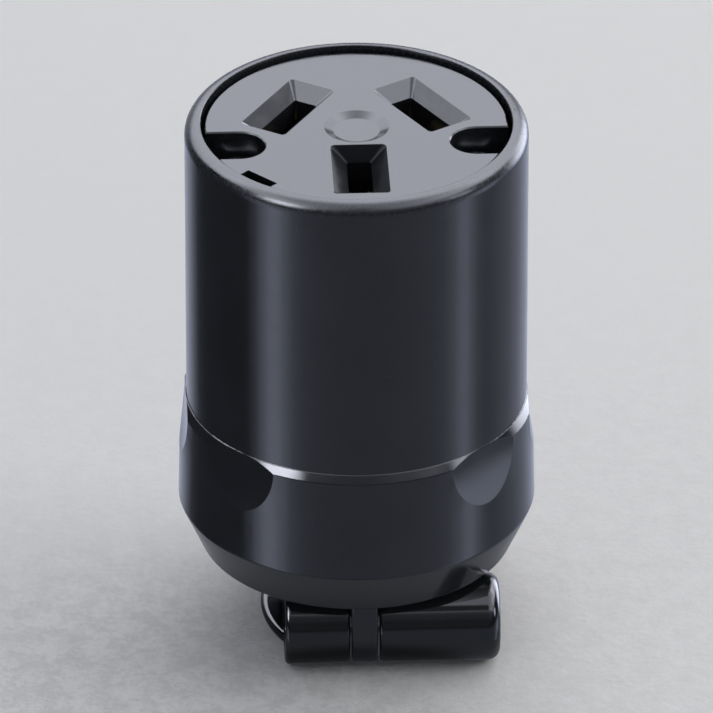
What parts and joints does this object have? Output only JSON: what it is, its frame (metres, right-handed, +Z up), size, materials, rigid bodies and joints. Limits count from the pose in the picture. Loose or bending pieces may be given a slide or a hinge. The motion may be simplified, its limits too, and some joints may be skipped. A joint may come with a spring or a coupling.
{
  "type": "three-pole cord connector body",
  "caption": "Round rewirable cord connector body: blade slots in a screwed-in face, tall grip shell, and a two-jaw cord clamp with screws beneath.",
  "frame": {"origin": "on the body axis, at the lowest point of the cord clamp that the connector stands on", "axes": "+Z up along the body axis to the plug face, -Y towards the earth slot (front), +X towards the long clamp barrels"},
  "size_m": [0.0504, 0.0504, 0.0793],
  "materials": {
    "shell_plastic": "polished black moulding",
    "face_plastic": "satin-gloss black moulding",
    "clamp_plastic": "high-gloss black moulding",
    "carrier_plastic": "moulded thermoset, matt",
    "contact_brass": "rolled and machined brass",
    "spring_steel": "tempered strip",
    "nickel_screw": "nickel plated",
    "zinc_steel": "zinc plated",
    "face_screw_steel": "dark nickel plated"
  },
  "bodies": {
    "housing": {"cover_shell": "shell_plastic", "boss_insert_left": "contact_brass", "boss_insert_right": "contact_brass", "clamp_jaw_left": "clamp_plastic", "clamp_nut_front": "zinc_steel", "clamp_nut_rear": "zinc_steel"},
    "insert": {"face_block": "face_plastic", "contact_carrier": "carrier_plastic", "carrier_screws": "zinc_steel", "face_screw_washer_left": "spring_steel", "face_screw_washer_right": "spring_steel", "contact_front": "contact_brass", "contact_left": "contact_brass", "contact_right": "contact_brass", "contact_spring_front": "spring_steel", "contact_spring_left": "spring_steel", "contact_spring_right": "spring_steel"},
    "clamp_jaw_right": {"clamp_jaw_right": "clamp_plastic"},
    "face_screw_left": {"face_screw_left": "face_screw_steel"},
    "face_screw_right": {"face_screw_right": "face_screw_steel"},
    "clamp_screw_front": {"clamp_screw_front": "zinc_steel"},
    "clamp_screw_rear": {"clamp_screw_rear": "zinc_steel"},
    "pressure_plate_front": {"pressure_plate_front": "nickel_screw"},
    "terminal_screw_front": {"terminal_screw_front": "nickel_screw"},
    "pressure_plate_left": {"pressure_plate_left": "nickel_screw"},
    "terminal_screw_left": {"terminal_screw_left": "nickel_screw"},
    "pressure_plate_right": {"pressure_plate_right": "nickel_screw"},
    "terminal_screw_right": {"terminal_screw_right": "nickel_screw"}
  },
  "joints": [
    {"name": "insert_lift", "type": "slide", "parent": "housing", "child": "insert", "axis": [0, 0, 1], "range_m": [0, 0.0084]},
    {"name": "clamp_open", "type": "slide", "parent": "housing", "child": "clamp_jaw_right", "axis": [1, 0, 0], "range_m": [0, 0.0042]},
    {"name": "face_screw_left_turn", "type": "hinge", "parent": "insert", "child": "face_screw_left", "pos_m": [-0.0166, -0.0046, 0.0729], "axis": [0, 0, 1], "range_deg": [0, 5040]},
    {"name": "face_screw_right_turn", "type": "hinge", "parent": "insert", "child": "face_screw_right", "pos_m": [0.0166, -0.0046, 0.0729], "axis": [0, 0, 1], "range_deg": [0, 5040]},
    {"name": "clamp_screw_front_turn", "type": "hinge", "parent": "clamp_jaw_right", "child": "clamp_screw_front", "pos_m": [0.0143, -0.0133, 0.0062], "axis": [1, 0, 0], "range_deg": [0, 2160]},
    {"name": "clamp_screw_rear_turn", "type": "hinge", "parent": "clamp_jaw_right", "child": "clamp_screw_rear", "pos_m": [0.0143, 0.0133, 0.0062], "axis": [1, 0, 0], "range_deg": [0, 2160]},
    {"name": "pressure_plate_front_travel", "type": "slide", "parent": "insert", "child": "pressure_plate_front", "axis": [0, 1, 0], "range_m": [0, 0.0021]},
    {"name": "terminal_screw_front_turn", "type": "hinge", "parent": "pressure_plate_front", "child": "terminal_screw_front", "pos_m": [0, -0.017, 0.044], "axis": [0, 1, 0], "range_deg": [0, 1260]},
    {"name": "pressure_plate_left_travel", "type": "slide", "parent": "insert", "child": "pressure_plate_left", "axis": [0.8462, -0.5329, 0], "range_m": [0, 0.0021]},
    {"name": "terminal_screw_left_turn", "type": "hinge", "parent": "pressure_plate_left", "child": "terminal_screw_left", "pos_m": [-0.01439, 0.00906, 0.044], "axis": [0.8462, -0.5329, 0], "range_deg": [0, 1260]},
    {"name": "pressure_plate_right_travel", "type": "slide", "parent": "insert", "child": "pressure_plate_right", "axis": [-0.8462, -0.5329, 0], "range_m": [0, 0.0021]},
    {"name": "terminal_screw_right_turn", "type": "hinge", "parent": "pressure_plate_right", "child": "terminal_screw_right", "pos_m": [0.01439, 0.00906, 0.044], "axis": [-0.8462, -0.5329, 0], "range_deg": [0, 1260]}
  ],
  "couplings": [
    {"joint": "face_screw_left_turn", "follows": "insert_lift", "rad_per_m": 10472},
    {"joint": "face_screw_right_turn", "follows": "insert_lift", "rad_per_m": 10472},
    {"joint": "clamp_screw_front_turn", "follows": "clamp_open", "rad_per_m": 8975.9},
    {"joint": "clamp_screw_rear_turn", "follows": "clamp_open", "rad_per_m": 8975.9},
    {"joint": "terminal_screw_front_turn", "follows": "pressure_plate_front_travel", "rad_per_m": 10472},
    {"joint": "terminal_screw_left_turn", "follows": "pressure_plate_left_travel", "rad_per_m": 10472},
    {"joint": "terminal_screw_right_turn", "follows": "pressure_plate_right_travel", "rad_per_m": 10472}
  ]
}
